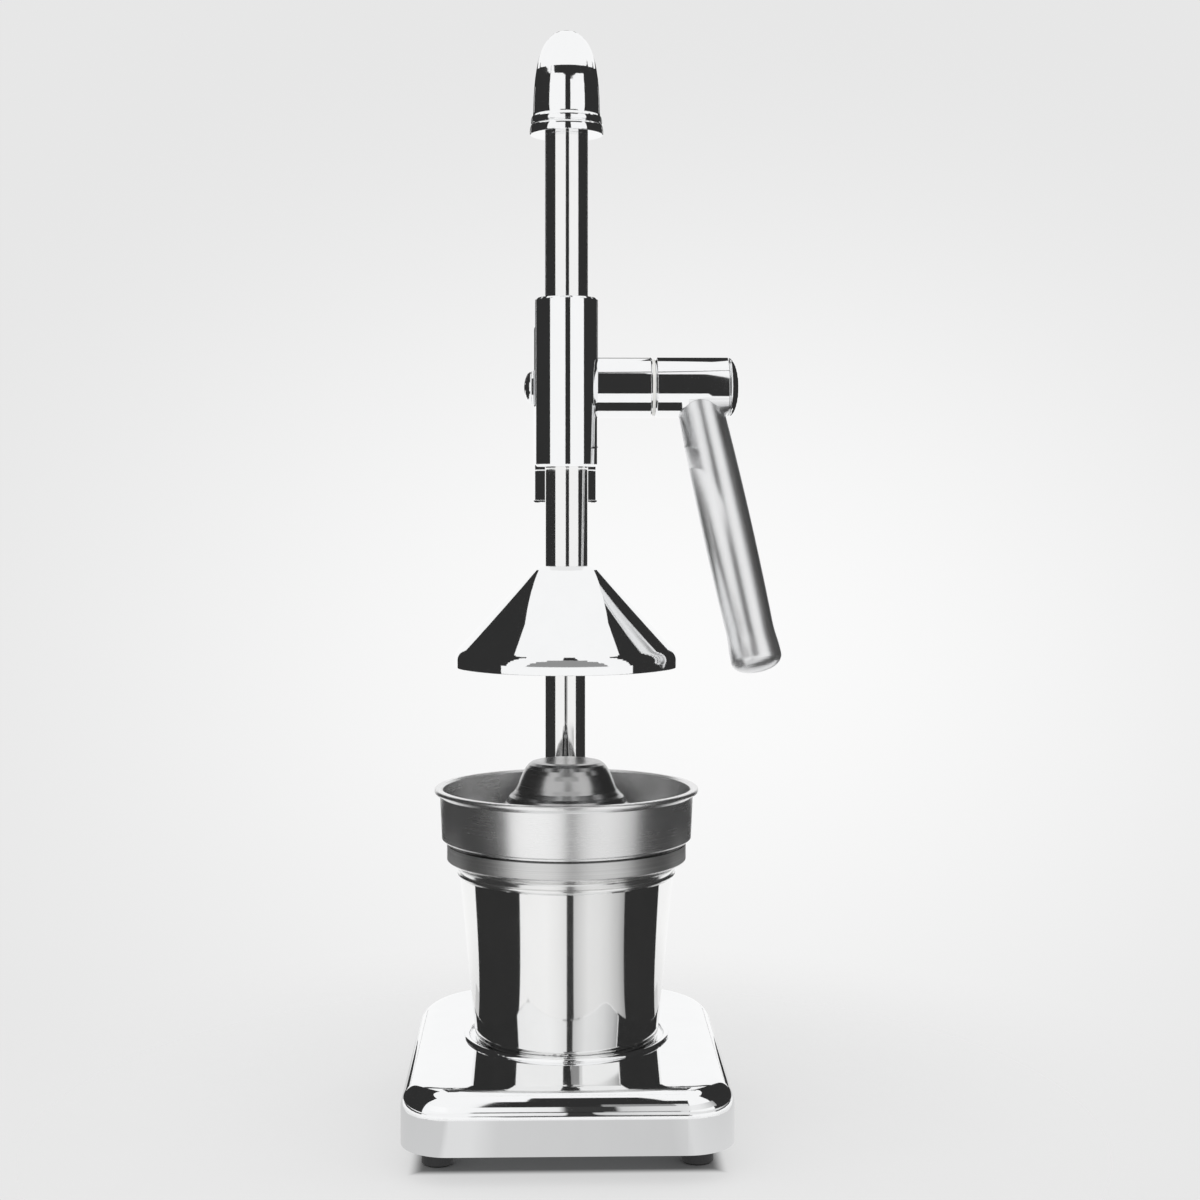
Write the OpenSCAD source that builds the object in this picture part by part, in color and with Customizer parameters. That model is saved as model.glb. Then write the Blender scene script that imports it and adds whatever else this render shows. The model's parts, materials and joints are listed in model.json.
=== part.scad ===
// Lever citrus juice press: a rack and pinion pushes a bell down over a reamer.
// X runs to the right, Y to the back and Z up, in millimetres. The origin is
// where the press axis meets the table.

/* [Base] */
// Width of the base
base_w = 120.4; // [112:0.2:140]
// Distance from the press axis to the front edge of the base
base_front = 76; // [66:0.5:90]
// Distance from the post's axis to the back edge of the base
base_behind_post = 19; // [18:0.5:30]
// Height of the base casting without its feet
base_h = 22.4; // [21:0.2:30]
// Radius of the rounded top edge of the base
base_fillet = 9.5; // [5:0.5:11]
// Corner radius at the front of the base, in plan
base_front_r = 18; // [14:0.5:26]
// Corner radius at the back of the base, in plan
base_rear_r = 36; // [26:0.5:42]
// Wall thickness of the base casting
base_wall = 3; // [2.5:0.25:4]
// Thickness of the steel plate that closes the base from below
plate_t = 2.5; // [2:0.25:4]
// Height of a rubber foot below the base
foot_h = 10.5; // [9:0.5:14]
// Radius of a rubber foot
foot_r = 6; // [5.5:0.25:8]
// Distance from the side of the base to a front foot's axis
foot_inset_x = 13; // [12:0.5:20]
// Distance from the front of the base to a front foot's axis
foot_inset_y = 26; // [12:0.5:30]
// Distance from the back of the base to a rear foot's axis
foot_inset_back = 18; // [14:0.5:26]

/* [Post] */
// Radius of the rear post
post_r = 8.7; // [8:0.1:10]
// Wall thickness of the post tube
post_wall = 2.7; // [2:0.1:3.5]
// Gap between the strainer's rim and the post
post_gap = 1.5; // [1:0.1:12]

/* [Cup] */
// Radius of the cup at its foot
cup_foot_r = 35.6; // [32:0.2:38]
// How far the cup's collar stands out past its body below the shoulder
cup_shoulder = 5.1; // [4:0.1:8]
// Height of the cup
cup_h = 75.6; // [65:0.2:90]
// Height of the straight collar at the cup's mouth
cup_collar_h = 6.6; // [5:0.2:9]
// Height of the shoulder below the collar
cup_shoulder_h = 5.5; // [4:0.1:8]
// Wall thickness of the cup
cup_wall = 1.2; // [0.8:0.1:1.6]
// Radius of the round bead that forms the cup's ring on the base
ring_r = 1.2; // [0.9:0.1:1.4]
// Gap between the cup's foot and that ring
ring_gap = 1.9; // [1.4:0.1:2.5]

/* [Strainer and reamer] */
// Radius of the strainer's band at its lower edge
strainer_r = 48.5; // [47:0.25:50]
// Height of the strainer's band
strainer_h = 20; // [16:0.1:24]
// Wall thickness of the strainer
strainer_wall = 1.2; // [0.9:0.1:1.5]
// How far the strainer's rim stands out past the band
strainer_lip = 2.1; // [1.5:0.1:2.4]
// How far the strainer's band stands out past the cup's collar
band_overhang = 2; // [1.5:0.1:3]
// Radius of one strainer hole
strainer_hole_r = 1.2; // [0.8:0.1:1.5]
// Number of holes in each of the strainer's rings
strainer_holes = 36; // [20:1:40]
// Radius of the reamer at its base
reamer_r = 33; // [31:0.25:34]
// Height of the reamer above the strainer's floor
reamer_h = 28; // [26:0.2:31]
// Number of juice slots round the reamer
reamer_slots = 12; // [8:1:16]

/* [Bell] */
// Gap between the bell's rim and the strainer's wall
bell_gap = 3.8; // [2:0.1:6]
// Height of the bell
bell_h = 39; // [37:0.25:44]
// Wall thickness of the bell
bell_wall = 1.6; // [1.2:0.1:2.2]
// Height of the straight lip at the bell's rim
bell_lip_h = 2.6; // [2:0.1:5]
// Radius of the rounding between that lip and the cone
bell_round = 6.6; // [3:0.2:10]
// Room left for the peel between the bell's rim and the strainer's floor
peel_gap = 2; // [1.5:0.1:6]

/* [Rack] */
// Radius of the round rack bar
rack_r = 8.4; // [8:0.1:9]
// Travel of the rack from the pose shown down to its stop
travel_down = 63; // [50:1:70]
// Travel of the rack from the pose shown up to its stop
travel_up = 38; // [20:1:45]
// Free gap left at each stop
stop_gap = 0.7; // [0.5:0.1:2]
// Height of the cap on top of the rack
cap_h = 40.7; // [36:0.1:46]
// Radius of the cap's rounded body
cap_r = 13; // [12.5:0.1:15]

/* [Gears] */
// Tooth module of the rack and the pinion
tooth_module = 2; // [1.9:0.02:2.1]
// Number of teeth on the pinion
pinion_teeth = 12; // [11:1:12]
// Pressure angle of the teeth
pressure_angle = 25; // [23:0.5:26]
// Free play between the teeth along the pitch line
backlash = 0.2; // [0.12:0.02:0.3]
// Distance from the rack's axis back to its pitch line
pitch_line_y = 5.9; // [5.7:0.1:6.1]
// Length of the pinion along its axis
pinion_l = 14.6; // [12:0.2:14.8]

/* [Head] */
// Outer radius of the front sleeve that guides the rack
sleeve_r = 12.3; // [12.2:0.1:13.5]
// Height of the front sleeve
sleeve_h = 65.7; // [62:0.1:80]
// Outer radius of the rear sleeve that holds the post
rear_sleeve_r = 13.3; // [12:0.1:15]
// How far the rear sleeve reaches below the front one
rear_sleeve_drop = 14.3; // [8:0.1:20]
// How far the rear sleeve ends below the top of the front one
rear_sleeve_dip = 4.6; // [0:0.1:8]
// Wall thickness of the housing round the pinion
housing_wall = 2.5; // [2:0.1:4]
// Outer radius of the boss that carries the lever's shaft
boss_r = 12.1; // [10:0.1:13]
// How far the boss reaches to the right of the press axis
boss_x = 34.2; // [28:0.2:40]
// Width of the arm between the two sleeves
arm_w = 16; // [12:0.5:20]
// Height of the arm between the two sleeves
arm_h = 32; // [24:0.5:36]
// Length of each guide bush
bush_l = 13; // [8:0.5:14]
// Wall thickness of each guide bush
bush_wall = 1.75; // [1.2:0.05:1.9]

/* [Lever] */
// Radius of the lever's shaft
shaft_r = 5; // [4.5:0.1:5.5]
// Thickness of the nylon washer beside the boss
thrust_t = 1.15; // [0.8:0.05:2]
// Radius of the lever's hub
hub_r = 12; // [10.5:0.1:13]
// Length of the lever's hub
hub_l = 29.9; // [27:0.1:36]
// Distance from the hub's left face to the handle's axis
handle_x = 16.4; // [16:0.1:19.5]
// Length of the handle from the shaft's axis to its end
handle_l = 117; // [90:0.5:170]
// Radius of the handle where it leaves the hub
handle_r = 9.2; // [7.5:0.1:10]
// Radius of the handle halfway down
handle_belly_r = 9.9; // [8:0.1:11]
// Radius of the handle above its flared end
handle_low_r = 9.3; // [8:0.1:9.8]
// Radius of the handle's flared end
handle_end_r = 9.9; // [9.8:0.1:12]
// Angle of the handle towards the front, in the pose shown
handle_forward = 15; // [0:1:45]
// Angle of the handle outwards
handle_outward = 11; // [0:0.5:12]

/* [Fits and fasteners] */
// Radial clearance of a shaft that turns or slides in its bush
running_fit = 0.05; // [0.02:0.01:0.08]
// Radial clearance of the post in its sockets
slip_fit = 0.05; // [0.02:0.01:0.1]
// Clearance all round the base plate and the strainer's skirt
loose_fit = 0.3; // [0.15:0.05:0.5]
// Axial play of the lever's shaft
end_play = 0.05; // [0.05:0.05:0.2]
// Thread radius of the foot screws
foot_screw_r = 2; // [1.5:0.1:2.2]
// Thread radius of the post bolt
post_bolt_r = 4; // [3:0.1:4.2]
// Thread radius of the bell's screw
bell_screw_r = 3; // [2.5:0.1:3.5]
// Thread radius of the set screws
set_screw_r = 2.5; // [2:0.1:3]
// Thread radius of the stud in the handle
stud_r = 4; // [3:0.1:4.5]

/* [Hidden] */
$fn = 96;
eps = 0.01;
over = 1;

// Heights, stacked up from the table
base_top = foot_h + base_h;
cup_rim_z = base_top + cup_h;
rim_gap = 1;
band_z = cup_rim_z + rim_gap;
floor_t = 1;
floor_z = band_z + floor_t + 1;
strainer_rim_z = band_z + strainer_h;
bell_rim_z = floor_z + peel_gap + travel_down;
bell_top_z = bell_rim_z + bell_h;
bush_recess = 1;
sleeve_z = bell_top_z + travel_up + stop_gap;
sleeve_top = sleeve_z + sleeve_h;
cap_z = sleeve_top + travel_down + stop_gap;

// Base
band_flare = 0.8;
post_y = strainer_r + band_flare + strainer_lip + post_gap + post_r;
base_back = post_y + base_behind_post;
foot_rear_shift = 7;
foot_places = [
    [-base_w / 2 + foot_inset_x, -base_front + foot_inset_y],
    [base_w / 2 - foot_inset_x, -base_front + foot_inset_y],
    [-base_w / 2 + foot_inset_x + foot_rear_shift, base_back - foot_inset_back],
    [base_w / 2 - foot_inset_x - foot_rear_shift, base_back - foot_inset_back],
];
foot_boss_r = 5;
foot_screw_head_r = 1.8 * foot_screw_r;
foot_screw_head_h = 1.2 * foot_screw_r;
foot_screw_head_z = foot_h / 3;
foot_screw_slot = [foot_screw_head_r, 0.4 * foot_screw_r, 0.8 * foot_screw_r];
foot_screw_bite = 4 * foot_screw_r;
foot_taper = 0.6;
foot_screw_top = foot_h + plate_t + foot_screw_bite;
post_boss_r = post_r + 5.3;
post_socket_floor = 6.5;
post_foot_z = foot_h + plate_t + post_socket_floor;
post_bore_r = post_r + slip_fit;
washer_t = 1.6;
bolt_head_h = 5;
insert_l = 20;
bolt_tip_z = post_foot_z + insert_l - 3;
ring_mid_r = cup_foot_r + ring_gap + ring_r;
ring_rise = 0.2;

// Cup, strainer, reamer and bell
cup_collar_r = strainer_r - band_overhang;
cup_mouth_r = cup_collar_r - cup_wall;
cup_collar_z = cup_rim_z - cup_collar_h;
cup_neck_z = cup_collar_z - cup_shoulder_h;
cup_top_r = cup_collar_r - cup_shoulder;
cup_bead_r = 0.9;
skirt_r = cup_mouth_r - loose_fit;
skirt_l = 5;
reamer_hole_r = reamer_r - 9;
reamer_wall = 1.4;
bell_r = strainer_r - strainer_wall - bell_gap;
bell_top_r = 9.7;
bell_shoulder_r = 12.9;
bell_shoulder_drop = 1.4;
bell_top_t = 3;
bell_roof = bell_h - bell_top_t;
bell_shoulder = [bell_shoulder_r, bell_h - bell_shoulder_drop];
bell_round_at = [bell_r - bell_round, bell_lip_h];
bell_reach = bell_shoulder - bell_round_at;
bell_slope = atan2(bell_reach[1], bell_reach[0]) - acos(bell_round / norm(bell_reach));
bell_screw_head_r = bell_screw_r + 2.5;
bell_screw_head_h = 3.2;
bell_screw_socket = 2;
bell_screw_bite = 15;
bell_hole_r = bell_screw_r + 0.2;
bell_washer_r = bell_screw_r + 4.5;
bell_washer_t = 1.2;

// Gears: the pinion's axis runs along X behind the rack
pitch_r = tooth_module * pinion_teeth / 2;
tooth_pitch = PI * tooth_module;
addendum = 0.8 * tooth_module;
dedendum = 1.05 * tooth_module;
pinion_tip_r = pitch_r + addendum;
pinion_root_r = pitch_r - dedendum;
pinion_y = pitch_line_y + pitch_r;
pinion_z = sleeve_z + sleeve_h / 2 - 1;
tooth_run_out = 11;
teeth_low_z = pinion_z - travel_up - tooth_run_out;
teeth_high_z = pinion_z + travel_down + tooth_run_out;

// Head: the cavity round the pinion opens to the left, where a cover closes it
cavity_r = pinion_tip_r + 0.4;
housing_r = cavity_r + housing_wall;
cavity_right_x = 7;
cover_t = 3;
cover_x = -sleeve_r + 0.5;
bush_r = rack_r + running_fit + bush_wall;
bush_z = [sleeve_z + bush_recess, sleeve_top - bush_recess - bush_l];
rack_room_r = rack_r + 1;
rear_sleeve_z = sleeve_z - rear_sleeve_drop;
rear_sleeve_top = sleeve_top - rear_sleeve_dip;
post_top = rear_sleeve_top - 6;
rear_lip_h = 1;
rear_lip_out = 0.55;
set_screw_up = 15;
set_screw_down = 18;
set_screw_z = [rear_sleeve_z + set_screw_up, rear_sleeve_top - set_screw_down];
set_screw_socket = 0.8 * set_screw_r;
set_screw_sunk = 0.6;
edge = 0.6;

// Lever: everything here turns about the shaft's axis
shaft_bush_wall = 2;
journal_r = shaft_r - 1;
journal_bush_wall = 1.5;
nut_thread_r = journal_r - 1;
pinion_x = cover_x + cover_t + 0.5;
shoulder_x = cover_x + cover_t + 0.3;
journal_end_x = cover_x - 0.3;
nut_washer_t = 0.8;
nut_washer_r = 7;
nut_hex_r = 6.6;
nut_hex_l = 0.9;
nut_dome_l = 3;
nut_x = journal_end_x - nut_washer_t;
shaft_left_x = nut_x - nut_hex_l - 1;
hub_x = boss_x + thrust_t + end_play;
hub_right_x = hub_x + hub_l;
shaft_right_x = hub_x + 10.6;
grub_x = hub_x + 5.4;
key_w = 3;
key_depth = 1.6;
key_l = pinion_l - 2;
cap_plug_r = hub_r - 2;
cap_plug_l = 2;
hub_dome_l = 3.9;
hub_dome_r = hub_r - 0.2;
stud_inner = 2;
stud_outer = 27;
flare_l = 17;
cap_spigot_r = 6;
cap_spigot_l = 14;

chrome = [0.80, 0.81, 0.83];
polished = [0.78, 0.78, 0.79];
satin = [0.66, 0.66, 0.67];
steel = [0.55, 0.56, 0.58];
bronze = [0.72, 0.55, 0.30];
nylon = [0.93, 0.93, 0.90];
rubber = [0.08, 0.08, 0.08];

// Points on an arc about a centre, from one angle to another
function arc(centre, r, from, to, steps = 8) =
    [for (i = [0:steps]) centre + r * [cos(from + (to - from) * i / steps),
                                       sin(from + (to - from) * i / steps)]];

// Points on a cubic curve with two control points
function curve(a, b, c, d, steps = 14) =
    [for (i = [0:steps]) let (t = i / steps, u = 1 - t)
        u * u * u * a + 3 * u * u * t * b + 3 * u * t * t * c + t * t * t * d];

// A round bar with a chamfer at both ends, standing on z = 0
module bar(r, h, chamfer = edge) {
    rotate_extrude()
        polygon([[0, 0], [r - chamfer, 0], [r, chamfer],
                 [r, h - chamfer], [r - chamfer, h], [0, h]]);
}

// A round tube with the same chamfers outside
module tube(r, bore, h, chamfer = edge) {
    difference() {
        bar(r, h, chamfer);
        translate([0, 0, -over]) cylinder(r = bore, h = h + 2 * over);
    }
}

// Puts a shape that was built along +Z onto the shaft's axis, starting at x
module on_shaft(x) {
    translate([x, pinion_y, pinion_z]) rotate([0, 90, 0]) children();
}

// Puts a shape that was built along +Z onto the handle's axis, away from the hub
module on_handle() {
    translate([hub_x + handle_x, pinion_y, pinion_z])
        rotate([-handle_forward, 0, 0])
            rotate([0, -handle_outward, 0])
                rotate([180, 0, 0])
                    children();
}

// ---- Base ----

// Cross-section of the base block: a rectangle with its two top corners rounded
module block_section(w, h, fillet) {
    translate([-w / 2, 0]) square([w, h - fillet]);
    translate([-w / 2 + fillet, h - fillet]) square([w - 2 * fillet, fillet]);
    for (side = [-1, 1])
        translate([side * (w / 2 - fillet), h - fillet]) circle(r = fillet);
}

// Half of that section, for turning a corner
module corner_section(r, h, fillet) {
    square([r, h - fillet]);
    if (r > fillet) translate([0, h - fillet]) square([r - fillet, fillet]);
    intersection() {
        translate([r - fillet, h - fillet]) circle(r = fillet);
        translate([0, h - fillet]) square([r, fillet]);
    }
}

// The base's outer block, drawn in on all sides by inset, with rounded top edges
module base_block(inset, h, fillet) {
    w = base_w - 2 * inset;
    front_r = base_front_r - inset;
    rear_r = base_rear_r - inset;
    front_y = -base_front + inset + front_r;
    rear_y = base_back - inset - rear_r;
    translate([0, rear_y, 0]) rotate([90, 0, 0])
        linear_extrude(rear_y - front_y) block_section(w, h, fillet);
    for (end = [[front_y, front_r, 1], [rear_y, rear_r, -1]]) {
        half = w / 2 - end[1];
        intersection() {
            translate([-half, end[0], 0]) rotate([90, 0, 90])
                linear_extrude(2 * half) block_section(2 * end[1], h, fillet);
            translate([-half, end[0] - (end[2] > 0 ? end[1] : 0), 0])
                cube([2 * half, end[1], h]);
        }
    }
    for (corner = [[-1, front_y, front_r, 180], [1, front_y, front_r, 270],
                   [-1, rear_y, rear_r, 90], [1, rear_y, rear_r, 0]])
        translate([corner[0] * (w / 2 - corner[2]), corner[1], 0])
            rotate([0, 0, corner[3]])
                rotate_extrude(angle = 90) corner_section(corner[2], h, fillet);
}

// The ring that centres the cup
module cup_ring() {
    translate([0, 0, base_top + ring_rise]) rotate_extrude()
        translate([ring_mid_r, 0]) circle(r = ring_r);
}

module base_shell() {
    roof = base_top - base_wall;
    plate_z = foot_h + plate_t;
    color(chrome) difference() {
        union() {
            difference() {
                translate([0, 0, foot_h]) base_block(0, base_h, base_fillet);
                translate([0, 0, foot_h - over])
                    base_block(base_wall, base_h - base_wall + over, base_fillet - base_wall);
            }
            cup_ring();
            for (place = foot_places)
                translate([place[0], place[1], plate_z])
                    cylinder(r = foot_boss_r, h = roof - plate_z + eps);
            translate([0, post_y, plate_z])
                cylinder(r = post_boss_r, h = roof - plate_z + eps);
        }
        for (place = foot_places)
            translate([place[0], place[1], plate_z - over])
                cylinder(r = foot_screw_r, h = foot_screw_top - plate_z + over);
        translate([0, post_y, post_foot_z])
            cylinder(r = post_bore_r, h = base_top - post_foot_z + over);
        translate([0, post_y, plate_z - over])
            cylinder(r = post_bolt_r + loose_fit, h = post_foot_z - plate_z + 2 * over);
    }
}

module base_plate() {
    inset = base_wall + loose_fit;
    front_r = base_front_r - inset;
    rear_r = base_rear_r - inset;
    half = base_w / 2 - inset;
    color(steel) translate([0, 0, foot_h]) difference() {
        linear_extrude(plate_t) {
            translate([-half, -base_front + base_front_r])
                square([2 * half, base_back - base_rear_r + base_front - base_front_r]);
            translate([-half + front_r, -base_front + inset])
                square([2 * (half - front_r), front_r]);
            translate([-half + rear_r, base_back - base_rear_r])
                square([2 * (half - rear_r), rear_r]);
            for (side = [-1, 1]) {
                translate([side * (half - front_r), -base_front + base_front_r])
                    circle(r = front_r);
                translate([side * (half - rear_r), base_back - base_rear_r])
                    circle(r = rear_r);
            }
        }
        for (place = foot_places)
            translate([place[0], place[1], -over])
                cylinder(r = foot_screw_r + loose_fit, h = plate_t + 2 * over);
        translate([0, post_y, -over])
            cylinder(r = post_bolt_r + loose_fit, h = plate_t + 2 * over);
    }
}

module foot(place) {
    color(rubber) translate([place[0], place[1], 0]) difference() {
        rotate_extrude()
            polygon([[0, 0], [foot_r - foot_taper, 0], [foot_r, foot_taper],
                     [foot_r, foot_h], [0, foot_h]]);
        translate([0, 0, -over]) cylinder(r = foot_screw_r + loose_fit, h = foot_h + 2 * over);
        translate([0, 0, -over])
            cylinder(r = foot_screw_head_r + loose_fit, h = foot_screw_head_z
                + foot_screw_head_h + over);
    }
}

module foot_screws() {
    head_top = foot_screw_head_z + foot_screw_head_h;
    color(steel) for (place = foot_places)
        translate([place[0], place[1], 0]) difference() {
            union() {
                translate([0, 0, foot_screw_head_z])
                    cylinder(r = foot_screw_head_r, h = foot_screw_head_h);
                translate([0, 0, head_top - eps])
                    cylinder(r = foot_screw_r, h = foot_screw_top - head_top + eps);
            }
            for (turn = [0, 90]) rotate([0, 0, turn])
                translate([0, 0, foot_screw_head_z]) cube(foot_screw_slot, center = true);
        }
}

// ---- Post ----

module post() {
    color(chrome) translate([0, post_y, post_foot_z])
        tube(post_r, post_r - post_wall, post_top - post_foot_z, 0.4);
}

module post_insert() {
    color(steel) translate([0, post_y, post_foot_z]) difference() {
        cylinder(r = post_r - post_wall, h = insert_l);
        translate([0, 0, -over]) cylinder(r = post_bolt_r, h = bolt_tip_z - post_foot_z + over);
    }
}

module post_bolt_washer() {
    color(steel) translate([0, post_y, foot_h - washer_t]) difference() {
        cylinder(r = post_bolt_r * 2, h = washer_t);
        translate([0, 0, -over]) cylinder(r = post_bolt_r + loose_fit, h = washer_t + 2 * over);
    }
}

module post_bolt() {
    head_z = foot_h - washer_t - bolt_head_h;
    color(steel) translate([0, post_y, 0]) {
        translate([0, 0, head_z]) cylinder(r = post_bolt_r * 1.85, h = bolt_head_h, $fn = 6);
        translate([0, 0, head_z + bolt_head_h - eps])
            cylinder(r = post_bolt_r, h = bolt_tip_z - head_z - bolt_head_h + eps);
    }
}

// ---- Head ----

module rear_sleeve_body() {
    top_round = 2.5;
    lip_r = rear_sleeve_r + rear_lip_out;
    height = rear_sleeve_top - rear_sleeve_z;
    translate([0, post_y, rear_sleeve_z]) rotate_extrude()
        polygon(concat(
            [[0, 0], [lip_r - 0.3, 0], [lip_r, 0.3], [lip_r, rear_lip_h], [rear_sleeve_r, rear_lip_h]],
            arc([rear_sleeve_r - top_round, height - top_round], top_round, 0, 90, 6),
            [[0, height]]));
}

module head_casting() {
    color(chrome) difference() {
        union() {
            translate([0, 0, sleeve_z]) bar(sleeve_r, sleeve_h, 0.8);
            on_shaft(cover_x) cylinder(r = housing_r, h = cavity_right_x + 5 - cover_x);
            on_shaft(0) bar(boss_r, boss_x);
            translate([-arm_w / 2, pinion_y, pinion_z - arm_h / 2])
                cube([arm_w, post_y - pinion_y, arm_h]);
            rear_sleeve_body();
        }
        // room for the rack, wider where the guide bushes sit
        translate([0, 0, sleeve_z - over]) cylinder(r = rack_room_r, h = sleeve_h + 2 * over);
        translate([0, 0, sleeve_z - over]) cylinder(r = bush_r, h = bush_recess + bush_l + over);
        translate([0, 0, bush_z[1]]) cylinder(r = bush_r, h = bush_recess + bush_l + over);
        // the pinion's cavity and the bore for the boss bush
        on_shaft(cover_x - 2) cylinder(r = cavity_r, h = cavity_right_x - cover_x + 2);
        on_shaft(cavity_right_x - over)
            cylinder(r = shaft_r + running_fit + shaft_bush_wall, h = boss_x - cavity_right_x + 2 * over);
        // the post's socket and its set screws
        translate([0, post_y, rear_sleeve_z - over])
            cylinder(r = post_bore_r, h = post_top - rear_sleeve_z + over);
        for (z = set_screw_z)
            translate([0, post_y, z]) rotate([-90, 0, 0])
                cylinder(r = set_screw_r, h = rear_sleeve_r + over);
    }
}

// A set screw along +Z with a hexagon socket in its outer end
module set_screw(l) {
    difference() {
        cylinder(r = set_screw_r, h = l);
        translate([0, 0, l - set_screw_socket])
            cylinder(r = set_screw_r * 0.55, h = set_screw_socket + over, $fn = 6);
    }
}

module post_set_screws() {
    color(steel) for (z = set_screw_z)
        translate([0, post_y + post_r, z]) rotate([-90, 0, 0])
            set_screw(rear_sleeve_r - post_r - set_screw_sunk);
}

module guide_bush(z) {
    color(bronze) translate([0, 0, z]) difference() {
        cylinder(r = bush_r, h = bush_l);
        translate([0, 0, -over]) cylinder(r = rack_r + running_fit, h = bush_l + 2 * over);
    }
}

module gear_cover() {
    color(chrome) on_shaft(cover_x) difference() {
        cylinder(r = cavity_r, h = cover_t);
        translate([0, 0, -over])
            cylinder(r = journal_r + running_fit + journal_bush_wall, h = cover_t + 2 * over);
    }
}

module cover_bush() {
    color(bronze) on_shaft(cover_x) difference() {
        cylinder(r = journal_r + running_fit + journal_bush_wall, h = cover_t);
        translate([0, 0, -over]) cylinder(r = journal_r + running_fit, h = cover_t + 2 * over);
    }
}

module boss_bush() {
    end_room = 0.4;
    length = boss_x - cavity_right_x - end_room;
    color(bronze) on_shaft(cavity_right_x + end_room) difference() {
        cylinder(r = shaft_r + running_fit + shaft_bush_wall, h = length);
        translate([0, 0, -over]) cylinder(r = shaft_r + running_fit, h = length + 2 * over);
    }
}

module thrust_washer() {
    color(nylon) on_shaft(boss_x) difference() {
        cylinder(r = boss_r - 0.9, h = thrust_t);
        translate([0, 0, -over]) cylinder(r = shaft_r + running_fit, h = thrust_t + 2 * over);
    }
}

// ---- Lever ----

module key_box() {
    translate([-(shaft_r - key_depth) - key_w, -key_w / 2, 0]) cube([key_w, key_w, key_l]);
}

module lever_shaft() {
    color(steel) difference() {
        union() {
            on_shaft(shoulder_x) bar(shaft_r, shaft_right_x - shoulder_x, 0.3);
            on_shaft(journal_end_x) cylinder(r = journal_r, h = shoulder_x - journal_end_x + eps);
            on_shaft(shaft_left_x) cylinder(r = nut_thread_r, h = journal_end_x - shaft_left_x + eps);
        }
        on_shaft(pinion_x + 1) key_box();
    }
}

module shaft_key() {
    color(steel) on_shaft(pinion_x + 1) key_box();
}

// Half the angle of a pinion tooth at radius r, from the shape of an involute
base_r = pitch_r * cos(pressure_angle);
function involute(angle) = tan(angle) * 180 / PI - angle;
function tooth_half(r) =
    let (at_pitch = (tooth_pitch / 2 - backlash / 2) / (2 * pitch_r) * 180 / PI)
    at_pitch + involute(pressure_angle) - involute(r > base_r ? acos(base_r / r) : 0);

module pinion() {
    flank_steps = 7;
    flank = [for (i = [0:flank_steps]) base_r + (pinion_tip_r - base_r) * i / flank_steps];
    pitch_angle = 360 / pinion_teeth;
    outline = [for (tooth = [0:pinion_teeth - 1])
        let (middle = 180 + pitch_angle * (tooth + 0.5))
        each concat(
            [[pinion_root_r, middle - tooth_half(base_r) - 0.5]],
            [for (r = flank) [r, middle - tooth_half(r)]],
            [for (i = [flank_steps:-1:0]) [flank[i], middle + tooth_half(flank[i])]],
            [[pinion_root_r, middle + tooth_half(base_r) + 0.5]])];
    color(steel) difference() {
        translate([pinion_x, pinion_y, pinion_z]) rotate([90, 0, 90])
            linear_extrude(pinion_l)
                polygon([for (p = outline) p[0] * [cos(p[1]), sin(p[1])]]);
        on_shaft(pinion_x - over) cylinder(r = shaft_r, h = pinion_l + 2 * over);
        on_shaft(pinion_x + 1) key_box();
    }
}

module nut_washer() {
    color(steel) on_shaft(nut_x) difference() {
        cylinder(r = nut_washer_r, h = nut_washer_t);
        translate([0, 0, -over]) cylinder(r = nut_thread_r, h = nut_washer_t + 2 * over);
    }
}

module dome_nut() {
    dome_r = nut_hex_r * 0.97;
    color(chrome) translate([nut_x, pinion_y, pinion_z]) rotate([0, -90, 0]) difference() {
        union() {
            cylinder(r = nut_hex_r, h = nut_hex_l, $fn = 6);
            translate([0, 0, nut_hex_l - eps]) rotate_extrude()
                polygon(concat([[0, 0]],
                    curve([dome_r, 0], [dome_r, nut_dome_l * 0.5],
                          [dome_r * 0.6, nut_dome_l], [0, nut_dome_l], 10)));
        }
        translate([0, 0, -over]) cylinder(r = nut_thread_r, h = nut_x - shaft_left_x + over);
    }
}

module lever_hub() {
    color(chrome) difference() {
        on_shaft(hub_x) bar(hub_r, hub_l, 0.8);
        on_shaft(hub_x - over) cylinder(r = shaft_r, h = shaft_right_x - hub_x + over);
        on_shaft(hub_right_x - cap_plug_l) cylinder(r = cap_plug_r, h = cap_plug_l + over);
        on_handle() translate([0, 0, -stud_inner]) cylinder(r = stud_r, h = hub_r + 2 * stud_inner);
        translate([grub_x, pinion_y, pinion_z]) rotate([-90, 0, 0])
            cylinder(r = set_screw_r, h = hub_r + over);
    }
}

module hub_grub_screw() {
    color(steel) translate([grub_x, pinion_y + shaft_r, pinion_z]) rotate([-90, 0, 0])
        set_screw(hub_r - shaft_r - set_screw_sunk);
}

module hub_end_cap() {
    rim = 0.8;
    color(chrome) {
        on_shaft(hub_right_x - cap_plug_l) cylinder(r = cap_plug_r, h = cap_plug_l + eps);
        on_shaft(hub_right_x) rotate_extrude()
            polygon(concat([[0, 0]],
                curve([hub_dome_r, 0], [hub_dome_r, rim + 1],
                      [hub_dome_r * 0.6, hub_dome_l], [0, hub_dome_l])));
    }
}

module handle_stud() {
    color(steel) on_handle() translate([0, 0, -stud_inner])
        cylinder(r = stud_r, h = stud_outer + stud_inner);
}

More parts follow.
